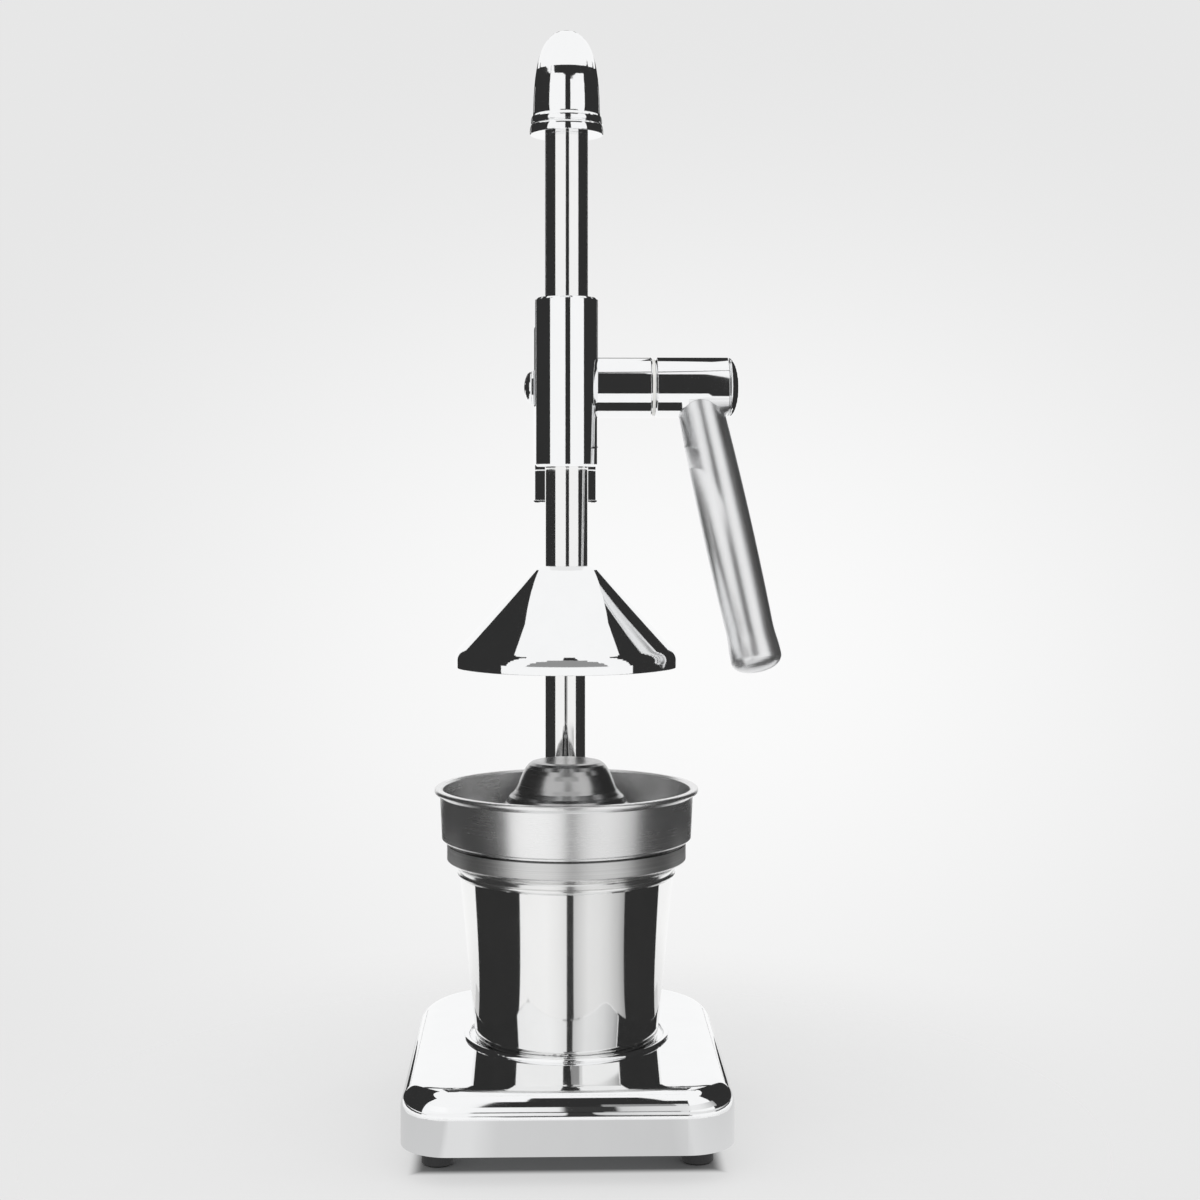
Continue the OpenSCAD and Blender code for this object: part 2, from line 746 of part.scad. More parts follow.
module handle_grip() {
    flare_z = handle_l - flare_l;
    swell = (handle_belly_r - (handle_r + handle_low_r) / 2) * 4 / 3;
    dome_z = handle_l - 5.5;
    color(chrome) difference() {
        on_handle() difference() {
            rotate_extrude()
                polygon(concat(
                    [[0, 0], [handle_r, 0]],
                    curve([handle_r, hub_r], [handle_r + swell, flare_z * 0.4],
                          [handle_low_r + swell, flare_z * 0.7], [handle_low_r, flare_z - 1]),
                    curve([handle_low_r, flare_z], [handle_low_r, flare_z + 5],
                          [handle_end_r, dome_z - 6], [handle_end_r, dome_z], 8),
                    curve([handle_end_r, dome_z], [handle_end_r, dome_z + 3],
                          [handle_end_r - 3, handle_l], [0, handle_l], 10)));
            translate([0, 0, -over]) cylinder(r = stud_r, h = stud_outer + over);
        }
        on_shaft(hub_x - over) cylinder(r = hub_r, h = hub_l + 2 * over);
    }
}

// ---- Rack, cap and bell ----

// The gaps between the rack's teeth, as [y, z] points on its back
function rack_cut() =
    let (
        tip_y = pitch_line_y + addendum,
        root_y = pitch_line_y - dedendum,
        half_gap = tooth_pitch / 4 + backlash / 4,
        half_top = half_gap + addendum * tan(pressure_angle),
        half_root = half_gap - dedendum * tan(pressure_angle),
        first = ceil((teeth_low_z + half_top - pinion_z) / tooth_pitch - 0.5),
        last = floor((teeth_high_z - half_top - pinion_z) / tooth_pitch - 0.5)
    )
    concat(
        [[rack_r + over, teeth_low_z], [tip_y, teeth_low_z]],
        [for (k = [first:last]) let (z = pinion_z + (k + 0.5) * tooth_pitch)
            each [[tip_y, z - half_top], [root_y, z - half_root],
                  [root_y, z + half_root], [tip_y, z + half_top]]],
        [[tip_y, teeth_high_z], [rack_r + over, teeth_high_z]]);

module rack() {
    color(chrome) difference() {
        union() {
            translate([0, 0, bell_top_z]) cylinder(r = rack_r, h = cap_z - bell_top_z);
            translate([0, 0, cap_z - eps]) cylinder(r = cap_spigot_r, h = cap_spigot_l + eps);
        }
        rotate([90, 0, 90])
            translate([0, 0, -rack_r - over])
                linear_extrude(2 * (rack_r + over)) polygon(rack_cut());
        translate([0, 0, bell_top_z - over])
            cylinder(r = bell_screw_r, h = bell_screw_bite + 2 + over);
    }
}

// Points on a shallow bead from a to b that stands out by bulge
function bead(a, b, bulge) =
    let (push = [4 / 3 * bulge, 0])
    curve(a, a + (b - a) / 4 + push, b - (b - a) / 4 + push, b, 6);

module top_cap() {
    flare = 1.3;
    groove = 0.55;
    body_z = 10.5;
    outline = concat(
        [[0, 0], [cap_r + flare - 0.2, 0]],
        bead([cap_r + flare, 0.3], [cap_r + flare - 0.35, 3.5], 0.2),
        [[cap_r + groove, 3.8], [cap_r + groove, 4.2]],
        bead([cap_r + groove + 0.25, 4.4], [cap_r + groove - 0.1, 7], 0.25),
        curve([cap_r + 0.25, 7.3], [cap_r + 0.1, 8], [cap_r, 9], [cap_r, body_z - 0.1], 5),
        curve([cap_r, body_z], [cap_r - 0.2, cap_h - 10.7], [0.68 * cap_r, cap_h], [0, cap_h]));
    color(chrome) translate([0, 0, cap_z]) difference() {
        rotate_extrude() polygon(outline);
        translate([0, 0, -over]) cylinder(r = cap_spigot_r, h = cap_spigot_l + over);
    }
}

// Points on the rounding at the bell's rim, drawn in by shrink
function bell_side(shrink) = arc(bell_round_at, bell_round - shrink, 0, bell_slope);

module bell() {
    inner_shoulder = bell_shoulder - bell_wall * [cos(bell_slope), sin(bell_slope)];
    roof_r = inner_shoulder[0] + (inner_shoulder[1] - bell_roof) * tan(bell_slope);
    color(chrome) translate([0, 0, bell_rim_z]) difference() {
        rotate_extrude() polygon(concat([[0, 0], [bell_r, 0]], bell_side(0),
            [bell_shoulder, [bell_top_r, bell_h], [0, bell_h]]));
        rotate_extrude() polygon(concat([[0, -over], [bell_r - bell_wall, -over]],
            bell_side(bell_wall), [[roof_r, bell_roof], [0, bell_roof]]));
        translate([0, 0, bell_roof - over]) cylinder(r = bell_hole_r, h = bell_top_t + 2 * over);
    }
}

module bell_washer() {
    color(steel) translate([0, 0, bell_rim_z + bell_roof - bell_washer_t]) difference() {
        cylinder(r = bell_washer_r, h = bell_washer_t);
        translate([0, 0, -over]) cylinder(r = bell_hole_r, h = bell_washer_t + 2 * over);
    }
}

module bell_screw() {
    head_top = bell_rim_z + bell_roof - bell_washer_t;
    color(steel) difference() {
        union() {
            translate([0, 0, head_top - bell_screw_head_h])
                cylinder(r = bell_screw_head_r, h = bell_screw_head_h);
            translate([0, 0, head_top - eps])
                cylinder(r = bell_screw_r, h = bell_top_z + bell_screw_bite - head_top + eps);
        }
        translate([0, 0, head_top - bell_screw_head_h - over])
            cylinder(r = bell_screw_r * 0.9, h = bell_screw_socket + over, $fn = 6);
    }
}

// ---- Cup, strainer and reamer ----

module cup() {
    foot_round = 1.2;
    neck_r = cup_top_r;
    wall = cup_wall;
    outer = concat(
        [[0, 0]],
        arc([cup_foot_r - foot_round, foot_round], foot_round, -90, 0, 4),
        [[neck_r, cup_neck_z - base_top - 1.2]],
        arc([neck_r + 0.1, cup_neck_z - base_top], cup_bead_r, -75, 75, 6),
        curve([neck_r + 0.4, cup_neck_z - base_top + 1.4], [neck_r + 0.6, cup_neck_z - base_top + 4],
              [cup_collar_r - 1.5, cup_neck_z - base_top + 3.6],
              [cup_collar_r, cup_collar_z - base_top], 8),
        [[cup_collar_r, cup_h - 0.4], [cup_collar_r - 0.4, cup_h]]);
    inner = [
        [cup_mouth_r, cup_h],
        [cup_mouth_r, cup_collar_z - base_top + 0.5],
        [neck_r - wall + 0.4, cup_neck_z - base_top + 1.4],
        [neck_r - wall, cup_neck_z - base_top - 1.2],
        [cup_foot_r - wall, wall + 1.2],
        [cup_foot_r - wall - 1.2, wall],
        [0, wall],
    ];
    color(polished) translate([0, 0, base_top]) rotate_extrude() polygon(concat(outer, inner));
}

module strainer() {
    wall = strainer_wall;
    rest_r = cup_mouth_r + 0.7;
    top_r = strainer_r + band_flare;
    lip = strainer_lip / 2;
    hole_room = (skirt_r - wall - reamer_r) / 4;
    profile = concat(
        [[reamer_hole_r, floor_z - floor_t], [skirt_r - wall, floor_z - floor_t],
         [skirt_r - wall, cup_rim_z - skirt_l], [skirt_r, cup_rim_z - skirt_l],
         [skirt_r, cup_rim_z], [rest_r, cup_rim_z], [rest_r, band_z],
         [strainer_r - 0.6, band_z], [strainer_r, band_z + 0.6],
         [top_r, strainer_rim_z - strainer_lip - 0.8]],
        arc([top_r + lip, strainer_rim_z - lip], lip, -110, 90, 10),
        [[top_r - wall + 0.8, strainer_rim_z], [top_r - wall, strainer_rim_z - 0.8],
         [strainer_r - wall, floor_z + 0.8], [strainer_r - wall - 0.8, floor_z],
         [reamer_hole_r, floor_z]]);
    color(satin) difference() {
        rotate_extrude() polygon(profile);
        for (ring = [1:3], k = [0:strainer_holes - 1])
            rotate([0, 0, (k + ring / 2) * 360 / strainer_holes])
                translate([reamer_r + ring * hole_room, 0, floor_z - floor_t - over])
                    cylinder(r = strainer_hole_r, h = floor_t + 2 * over, $fn = 24);
    }
}

module reamer() {
    wall = reamer_wall;
    top_r = 13.2;
    skirt = 1.6;
    spigot_r = reamer_hole_r - 0.1;
    outer = [
        [reamer_r, 0], [reamer_r, 1], [reamer_r - 1.2, 2.2],
        [reamer_r - 8.6, reamer_h - 16.4], [reamer_r - 9.6, reamer_h - 15.6],
        [reamer_r - 10.6, reamer_h - 13.6], [reamer_r - 11.8, reamer_h - 12.6],
        [reamer_r - 13.2, reamer_h - 11],
    ];
    crown = curve([reamer_r - 13.2, reamer_h - 11], [reamer_r - 15.4, reamer_h - 7],
                  [top_r + 3.4, reamer_h - 0.2], [top_r - 1.4, reamer_h], 8);
    inner = [
        [0, reamer_h], [0, reamer_h - 2.4], [top_r - 3, reamer_h - 2.4],
        [reamer_r - 15.4, reamer_h - 11.6], [reamer_r - 11, reamer_h - 17.2],
        [spigot_r - wall, 1], [spigot_r - wall, -skirt],
        [spigot_r, -skirt], [spigot_r, 0],
    ];
    color(satin) translate([0, 0, floor_z]) difference() {
        rotate_extrude() polygon(concat(outer, crown, inner));
        for (k = [0:reamer_slots - 1])
            rotate([0, 0, k * 360 / reamer_slots])
                translate([spigot_r - wall - over, -1.25, 3.2])
                    cube([reamer_r - spigot_r + wall, 2.5, reamer_h - 22]);
    }
}

// ---- The pieces ----

base_shell();
base_plate();
foot(foot_places[0]);  // foot_front_left
foot(foot_places[1]);  // foot_front_right
foot(foot_places[2]);  // foot_rear_left
foot(foot_places[3]);  // foot_rear_right
foot_screws();
post();
post_insert();
post_bolt();
post_bolt_washer();
head_casting();
post_set_screws();
guide_bush(bush_z[1]);  // upper_guide_bush
guide_bush(bush_z[0]);  // lower_guide_bush
gear_cover();
cover_bush();
boss_bush();
thrust_washer();
lever_shaft();
pinion();
shaft_key();
nut_washer();
dome_nut();
lever_hub();
hub_grub_screw();
hub_end_cap();
handle_stud();
handle_grip();
rack();
top_cap();
bell();
bell_washer();
bell_screw();
cup();
strainer();
reamer();
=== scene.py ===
"""A lever citrus juice press in a plain pale studio: its finishes, its lights and its camera."""
import json
import math

import bpy
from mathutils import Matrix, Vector

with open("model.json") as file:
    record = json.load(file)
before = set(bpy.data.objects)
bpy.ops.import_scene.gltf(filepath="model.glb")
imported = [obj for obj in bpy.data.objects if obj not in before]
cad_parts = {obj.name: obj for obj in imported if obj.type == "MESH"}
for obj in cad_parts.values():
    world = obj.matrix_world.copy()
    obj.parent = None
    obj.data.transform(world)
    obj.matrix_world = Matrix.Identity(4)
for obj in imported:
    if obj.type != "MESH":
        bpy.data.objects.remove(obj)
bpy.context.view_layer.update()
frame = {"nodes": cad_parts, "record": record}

MM = 0.001


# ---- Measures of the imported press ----

def extent(name):
    """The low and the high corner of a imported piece, at rest."""
    points = [vertex.co for vertex in frame["nodes"][name].data.vertices]
    low = Vector([min(point[axis] for point in points) for axis in range(3)])
    high = Vector([max(point[axis] for point in points) for axis in range(3)])
    return low, high


BASE_LOW, BASE_HIGH = extent("base_shell")
CUP_TOP = extent("cup")[1].z
BELL_RIM = extent("bell")[0].z
CAP_TOP = extent("top_cap")[1].z


# ---- Node helpers ----

# Most of a noise texture's grey values lie between these two
NOISE_LOW = 0.3
NOISE_HIGH = 0.7


def new_material(name):
    """A node material, with its tree and its Principled shader."""
    material = bpy.data.materials.new(name)
    material.use_nodes = True
    tree = material.node_tree
    return material, tree, tree.nodes["Principled BSDF"]


def add(tree, kind, **settings):
    """A new node with some of its settings or inputs set."""
    node = tree.nodes.new(kind)
    for key, value in settings.items():
        if hasattr(node, key):
            setattr(node, key, value)
        else:
            node.inputs[key.replace("_", " ")].default_value = value
    return node


def stretched(tree, scale=(1, 1, 1), turn=(0, 0, 0)):
    """Object coordinates, turned by angles in degrees and then scaled along each axis."""
    place = add(tree, "ShaderNodeTexCoord")
    turning = add(tree, "ShaderNodeMapping")
    turning.inputs["Rotation"].default_value = [math.radians(angle) for angle in turn]
    tree.links.new(place.outputs["Object"], turning.inputs["Vector"])
    scaling = add(tree, "ShaderNodeMapping")
    scaling.inputs["Scale"].default_value = scale
    tree.links.new(turning.outputs["Vector"], scaling.inputs["Vector"])
    return scaling.outputs["Vector"]


def noise(tree, vector, scale, detail=3.0, roughness=0.5):
    """The grey value of a noise texture."""
    node = add(tree, "ShaderNodeTexNoise", Scale=scale, Detail=detail, Roughness=roughness)
    tree.links.new(vector, node.inputs["Vector"])
    return node.outputs["Fac"]


def ramp(tree, grey, low, high):
    """A noise texture's grey value, mapped onto low to high."""
    node = add(tree, "ShaderNodeMapRange")
    node.inputs["From Min"].default_value = NOISE_LOW
    node.inputs["From Max"].default_value = NOISE_HIGH
    node.inputs["To Min"].default_value = low
    node.inputs["To Max"].default_value = high
    tree.links.new(grey, node.inputs["Value"])
    return node.outputs["Result"]


def eased(tree, value, start, end, low=0.0, high=1.0):
    """A smooth step from low, where value is at start, to high, where it is at end."""
    node = add(tree, "ShaderNodeMapRange", interpolation_type="SMOOTHSTEP")
    node.inputs["From Min"].default_value = start
    node.inputs["From Max"].default_value = end
    node.inputs["To Min"].default_value = low
    node.inputs["To Max"].default_value = high
    tree.links.new(value, node.inputs["Value"])
    return node.outputs["Result"]


def tinted(tree, value, dark, light):
    """A colour between dark and light, by value."""
    node = add(tree, "ShaderNodeMix", data_type="RGBA")
    node.inputs[6].default_value = (*dark, 1)
    node.inputs[7].default_value = (*light, 1)
    tree.links.new(value, node.inputs[0])
    return node.outputs[2]


def bumped(tree, height, strength, distance, edge_radius):
    """A normal from a height, over edges that are softened by edge_radius."""
    bump = add(tree, "ShaderNodeBump", Strength=strength, Distance=distance)
    tree.links.new(height, bump.inputs["Height"])
    bevel = add(tree, "ShaderNodeBevel", samples=4, Radius=edge_radius)
    tree.links.new(bevel.outputs["Normal"], bump.inputs["Normal"])
    return bump.outputs["Normal"]


# ---- Materials ----

# Noise cells per metre: in the fine grain of a metal, along a streak and in its blotches
GRAIN_SCALE = 2600.0
STREAK_SCALE = 14
BLOTCH_SCALE = 60
# Streaks per metre of height on brushed and on turned steel
BRUSHED_GROOVES = 5200.0
TURNED_GROOVES = 3600.0


def metal(name, colour, rough, peel=0.0, wear=0.04, wipes=(90, 90, 40), turn=(0, 0, 0)):
    """A smooth metal: faint wipe marks in its gloss, a fine grain and soft edges."""
    material, tree, shader = new_material(name)
    shader.inputs["Metallic"].default_value = 1.0
    wipe = noise(tree, stretched(tree, wipes, turn), 1.0, 5.0, 0.6)
    grain = noise(tree, stretched(tree), GRAIN_SCALE, 2.0)
    darker = [channel * (1 - wear) for channel in colour]
    tree.links.new(tinted(tree, wipe, darker, colour), shader.inputs["Base Color"])
    tree.links.new(ramp(tree, wipe, *rough), shader.inputs["Roughness"])
    tree.links.new(bumped(tree, grain, 0.02 + peel, 0.01 * MM, 0.3 * MM), shader.inputs["Normal"])
    return material


def streaks(tree, grooves):
    """The grey value of fine streaks that run round the press axis."""
    return noise(tree, stretched(tree, (STREAK_SCALE, STREAK_SCALE, grooves)), 1.0, 4.0, 0.65)


def turned(name, colour, rough, grooves, strength):
    """A brushed or turned metal, with fine streaks that run round the press axis."""
    material, tree, shader = new_material(name)
    shader.inputs["Metallic"].default_value = 1.0
    shader.inputs["Anisotropic"].default_value = 0.3
    streak = streaks(tree, grooves)
    blotch = noise(tree, stretched(tree, (BLOTCH_SCALE, BLOTCH_SCALE, BLOTCH_SCALE)), 1.0)
    darker = [channel * 0.93 for channel in colour]
    tree.links.new(tinted(tree, streak, darker, colour), shader.inputs["Base Color"])
    mixed = add(tree, "ShaderNodeMath", operation="ADD")
    tree.links.new(ramp(tree, streak, *rough), mixed.inputs[0])
    tree.links.new(ramp(tree, blotch, -0.02, 0.03), mixed.inputs[1])
    tree.links.new(mixed.outputs[0], shader.inputs["Roughness"])
    tree.links.new(bumped(tree, streak, strength, 0.02 * MM, 0.25 * MM), shader.inputs["Normal"])
    tangent = add(tree, "ShaderNodeTangent", direction_type="RADIAL", axis="Z")
    tree.links.new(tangent.outputs["Tangent"], shader.inputs["Tangent"])
    return material


def part_turned(material, above, soft, rough, shades):
    """Makes a smooth metal duller, darker by shades and faintly brushed above a height; very dark shades
    make it a painted shade.
    """
    tree = material.node_tree
    shader = tree.nodes["Principled BSDF"]
    place = add(tree, "ShaderNodeTexCoord")
    split = add(tree, "ShaderNodeSeparateXYZ")
    tree.links.new(place.outputs["Object"], split.inputs[0])
    upper = eased(tree, split.outputs["Z"], above - soft, above + soft)
    streak = streaks(tree, BRUSHED_GROOVES)
    gloss = add(tree, "ShaderNodeMix", data_type="FLOAT")
    tree.links.new(upper, gloss.inputs[0])
    tree.links.new(shader.inputs["Roughness"].links[0].from_socket, gloss.inputs[2])
    tree.links.new(ramp(tree, streak, *rough), gloss.inputs[3])
    tree.links.new(gloss.outputs[0], shader.inputs["Roughness"])
    shade = add(tree, "ShaderNodeMix", data_type="RGBA", blend_type="MULTIPLY")
    tree.links.new(upper, shade.inputs[0])
    tree.links.new(shader.inputs["Base Color"].links[0].from_socket, shade.inputs[6])
    dark, light = ((level, level, level) for level in shades)
    tree.links.new(tinted(tree, streak, dark, light), shade.inputs[7])
    tree.links.new(shade.outputs[2], shader.inputs["Base Color"])


def rubber(name):
    """Dull black rubber with some dust on it."""
    material, tree, shader = new_material(name)
    dust = noise(tree, stretched(tree), 420.0, 6.0, 0.7)
    tree.links.new(tinted(tree, dust, (0.012, 0.012, 0.013), (0.035, 0.035, 0.036)),
                   shader.inputs["Base Color"])
    tree.links.new(ramp(tree, dust, 0.5, 0.72), shader.inputs["Roughness"])
    tree.links.new(bumped(tree, dust, 0.35, 0.08 * MM, 0.4 * MM), shader.inputs["Normal"])
    return material


def nylon(name):
    """Pale moulded nylon, slightly clouded."""
    material, tree, shader = new_material(name)
    cloud = noise(tree, stretched(tree), 300.0, 4.0)
    tree.links.new(tinted(tree, cloud, (0.80, 0.80, 0.77), (0.90, 0.90, 0.88)),
                   shader.inputs["Base Color"])
    shader.inputs["Roughness"].default_value = 0.45
    tree.links.new(bumped(tree, cloud, 0.1, 0.02 * MM, 0.2 * MM), shader.inputs["Normal"])
    return material


def polished(name):
    """Polished steel, a little duller than the chrome."""
    return metal(name, (0.90, 0.90, 0.895), (0.045, 0.08), wear=0.06)


FINISHES = {
    "chrome": metal("chrome", (0.93, 0.935, 0.94), (0.025, 0.05)),
    "polished_steel": polished("polished_steel"),
    "plain_steel": metal("plain_steel", (0.56, 0.57, 0.58), (0.22, 0.38), peel=0.2, wear=0.2),
    "bronze": metal("bronze", (0.72, 0.52, 0.27), (0.22, 0.36), peel=0.2, wear=0.25),
    "satin_steel": turned("satin_steel", (0.84, 0.84, 0.84), (0.235, 0.27), BRUSHED_GROOVES, 0.02),
    "rubber": rubber("rubber"),
    "nylon": nylon("nylon"),
}
# Pieces whose finish differs from that of their material slot
OWN_FINISHES = {
    "cup": polished("polished_steel"),
    "reamer": turned("satin_steel", (0.46, 0.46, 0.46), (0.18, 0.26), TURNED_GROOVES, 0.08),
    "handle_grip": metal("chrome", (0.88, 0.885, 0.89), (0.27, 0.40), wear=0.14,
                         wipes=(420, 420, 14), turn=(15, 11, 0)),
}

for part in frame["record"]["subparts"]:
    for slot in frame["nodes"][part["node"]].material_slots:
        slot.material = FINISHES[part["material_slot"]]
for name, material in OWN_FINISHES.items():
    frame["nodes"][name].material_slots[0].material = material

# The cup's shoulder, its brushed collar, and a painted shade line just under its rim for the dark gap
# under the strainer's band
CUP_ZONES = (
    {"above": CUP_TOP - 12.8 * MM, "soft": 0.5 * MM, "rough": (0.15, 0.22), "shades": (0.90, 1.0)},
    {"above": CUP_TOP - 7.0 * MM, "soft": 0.5 * MM, "rough": (0.30, 0.42), "shades": (0.62, 0.95)},
    # painted shade: a dark line on the cup just under its rim, standing in for the shadowed gap under the
    # strainer's band
    {"above": CUP_TOP - 0.7 * MM, "soft": 0.2 * MM, "rough": (0.20, 0.27), "shades": (0.15, 0.2)},
)
for zone in CUP_ZONES:
    part_turned(OWN_FINISHES["cup"], **zone)


# ---- Cards that only reflections see ----
# Places are in metres from the foot of the press axis. Azimuth 0 is straight in front of the press,
# and 90 degrees is to its right.

def towards(azimuth, distance):
    """The x and y of a place at an azimuth and a distance."""
    angle = math.radians(azimuth)
    return distance * math.sin(angle), -distance * math.cos(angle)


def glow(name, level):
    """A flat level of light."""
    material = bpy.data.materials.new(name)
    material.use_nodes = True
    tree = material.node_tree
    tree.nodes.clear()
    emission = add(tree, "ShaderNodeEmission")
    emission.inputs["Color"].default_value = (level, level, level, 1)
    out = add(tree, "ShaderNodeOutputMaterial")
    tree.links.new(emission.outputs[0], out.inputs["Surface"])
    return material


def graded(name, coordinate, stops, gain=1.0):
    """A level of light that changes along "X", or along the "azimuth" round the press axis."""
    material = glow(name, 1.0)
    tree = material.node_tree
    emission = next(node for node in tree.nodes if node.type == "EMISSION")
    place = add(tree, "ShaderNodeTexCoord")
    along = add(tree, "ShaderNodeMapRange")
    if coordinate == "azimuth":
        # the texture runs from 0 to 1 round the axis, with azimuth 0 at a quarter
        angle = add(tree, "ShaderNodeTexGradient", gradient_type="RADIAL")
        tree.links.new(place.outputs["Object"], angle.inputs["Vector"])
        tree.links.new(angle.outputs["Fac"], along.inputs["Value"])
        stops = [(0.25 + azimuth / 360, level) for azimuth, level in stops]
    else:
        split = add(tree, "ShaderNodeSeparateXYZ")
        tree.links.new(place.outputs["Object"], split.inputs[0])
        tree.links.new(split.outputs[coordinate], along.inputs["Value"])
    start, end = stops[0][0], stops[-1][0]
    along.inputs["From Min"].default_value = start
    along.inputs["From Max"].default_value = end
    levels = add(tree, "ShaderNodeValToRGB")
    tree.links.new(along.outputs["Result"], levels.inputs[0])
    elements = levels.color_ramp.elements
    for index, (at, level) in enumerate(stops):
        element = elements[index] if index < 2 else elements.new(1.0)
        element.position = (at - start) / (end - start)
        element.color = (level * gain, level * gain, level * gain, 1)
    tree.links.new(levels.outputs["Color"], emission.inputs["Color"])
    return material


def staged(name, points, faces, material):
    """A stage mesh: it isn't part of the press."""
    mesh = bpy.data.meshes.new(name)
    mesh.from_pydata(points, [], faces)
    item = bpy.data.objects.new(name, mesh)
    item.data.materials.append(material)
    bpy.context.scene.collection.objects.link(item)
    return item


def card(name, points, faces, material):
    """A stage mesh that only reflections see."""
    item = staged(name, points, faces, material)
    item.visible_camera = False
    item.visible_diffuse = False
    item.visible_transmission = False
    item.visible_volume_scatter = False
    item.visible_shadow = False


def band(name, start, end, pair, material, steps=12):
    """A card that runs from one azimuth to another; pair gives its two points at an azimuth."""
    points = []
    for i in range(steps + 1):
        points += pair(start + (end - start) * i / steps)
    card(name, points, [(2 * i, 2 * i + 2, 2 * i + 3, 2 * i + 1) for i in range(steps)], material)


def curved_card(name, start, end, distance, low, high, material, steps=12):
    """An upright card bent round the press axis."""
    def pair(azimuth):
        x, y = towards(azimuth, distance)
        return [(x, y, low), (x, y, high)]
    band(name, start, end, pair, material, steps)


def level_card(name, outline, z, material):
    """A level card from its outline, as [x, y] points."""
    card(name, [(x, y, z) for x, y in outline], [tuple(range(len(outline)))], material)


def upright_card(name, outline, y, material):
    """An upright card that faces the camera, from its outline as [x, z] points."""
    card(name, [(x, y, z) for x, z in outline], [tuple(range(len(outline)))], material)


def rectangle(left, right, low, high):
    """The outline of a rectangle."""
    return [(left, low), (right, low), (right, high), (left, high)]


def both_sides(right_half):
    """A whole outline from its right half, which may end on the middle line."""
    return right_half + [(-x, y) for x, y in reversed(right_half) if x]


DARK = glow("card_dark", 0.03)
GREY = glow("card_grey", 0.30)
PALE = glow("card_pale", 0.74)
BRIGHT = glow("card_bright", 1.0)

# The flags stand at the far sides of the room
ROOM = 0.6
ROOM_TOP = 1.25
FLAG_LEFT = -62
FLAG_RIGHT = 65
REAR_LEFT = -148
REAR_RIGHT = 149
# The high flags stand nearer, round the head
HIGH_FLAG_TURN = 165
HIGH_FLAG_AT = 0.165
HIGH_FLAG_LOW = 0.285
HIGH_FLAG_TOP = 0.62

# The low cards hover round the base, just under its top face and above what its upright walls reflect.
# They begin beside it in front, and further out behind.
LOW = BASE_HIGH.z - 7.8 * MM
BASE_SIDE = BASE_HIGH.x + 2.3 * MM
BASE_FRONT = -BASE_LOW.y + 2.5 * MM
LOW_LEFT = -111
LOW_RIGHT = 112
LOW_REAR_TURN = 160
LOW_REAR_FROM = 0.33

# What the cup sees in front of it: two pale panels, and the dark line between them
PANELS_LEFT = -48
PANELS_RIGHT = 60
PANELS = [(PANELS_LEFT, 0.95), (-20, 0.98), (-8, 0.90), (-0.6, 0.82), (0, 0.04), (6, 0.04),
          (6.6, 0.60), (11, 0.68), (21, 0.84), (32, 0.82), (42, 0.74), (53, 0.56), (PANELS_RIGHT, 0.36)]
PANELS_END = 0.34
# The same panels for the base's top, upright and nearer, and a light below them for its rounded edge
BASE_PANELS_AT = 0.20
BASE_PANELS_LOW = 0.062
BASE_PANELS_HIGH = 0.118
BASE_PANELS_GAIN = 1.07
EDGE_LIGHT_LEFT = 4
EDGE_LIGHT_AT = 0.30
EDGE_LIGHT_LOW = 0.027

# What the base's upright walls see of the floor: a rectangle just above it, and its levels along X
FLOOR_GREY = rectangle(-0.15, 0.15, -0.15, 0.12)
FLOOR_GREY_Z = 0.0005
FLOOR_LEVELS = [(-0.15, 0.62), (-0.060, 0.64), (-0.050, 0.78), (-0.036, 0.78), (-0.026, 0.66),
                (0.040, 0.62), (0.056, 0.74), (0.15, 0.66)]

# The canopy lies just below the head, and its dark neighbour below the boss
CANOPY_Z = 0.2537
CANOPY = both_sides([(0.0616, -0.055), (0.0616, -0.03), (0.051, -0.016), (0.049, 0.03), (0.045, 0.09)])
UNDER_BOSS_Z = 0.262
UNDER_BOSS = rectangle(0.0125, 0.047, -0.002, 0.014)

# In front of the bell: a grey lens, and a bright strip below it
BELL_CARDS_Y = -0.068
LENS_FOOT = BELL_RIM + 3.5 * MM
BELL_LENS = both_sides([(0.042, LENS_FOOT), (0.034, BELL_RIM + 21.5 * MM),
                        (0.018, BELL_RIM + 32.5 * MM), (0, BELL_RIM + 36.5 * MM)])
RIM_STRIP = rectangle(-0.115, 0.115, BELL_RIM - 8.5 * MM, LENS_FOOT)

# In front of the press: a dark gap far away, with its part of the floor. Nearer stand a slit for the
# rack and the sleeve, and a grey and a pale card for the base's top.
GAP_Y = -0.76
GAP = rectangle(-0.061, 0.150, 0.0, 1.2)
GAP_FLOOR_LEFT = -4
GAP_FLOOR_RIGHT = 16
GAP_FLOOR_FROM = 0.40
GAP_FLOOR_TO = 0.78
GAP_FLOOR_Z = 0.001
SLIT_Y = -0.22
SLIT = rectangle(-0.018, 0.050, 0.205, 0.60)
NEAR_Y = -0.20
NEAR_GREY = rectangle(0.016, 0.048, 0.03, 0.155)
NEAR_PALE = rectangle(0.048, 0.060, 0.03, 0.155)

# Round the dome of the top cap: a bright ring, and a dark lens inside it
CAP_RING = 0.105
CAP_RING_TOP = CAP_TOP + 195.7 * MM
CAP_RING_PARTS = {
    "cap_front": (-60, 90, CAP_TOP + 37.7 * MM),
    "cap_left": (-60, -125, CAP_TOP + 27.2 * MM),
    "cap_right": (90, 125, CAP_TOP + 27.2 * MM),
    "cap_left_rear": (-125, -172, CAP_TOP + 18.7 * MM),
    "cap_right_rear": (125, 172, CAP_TOP + 18.7 * MM),
}
CAP_LENS_AT = 0.10
CAP_LENS_LEFT = -50
CAP_LENS_RIGHT = 74

# The dark strip far behind the press
REAR_GAP = rectangle(-0.5, 0.5, 0.57, 0.72)


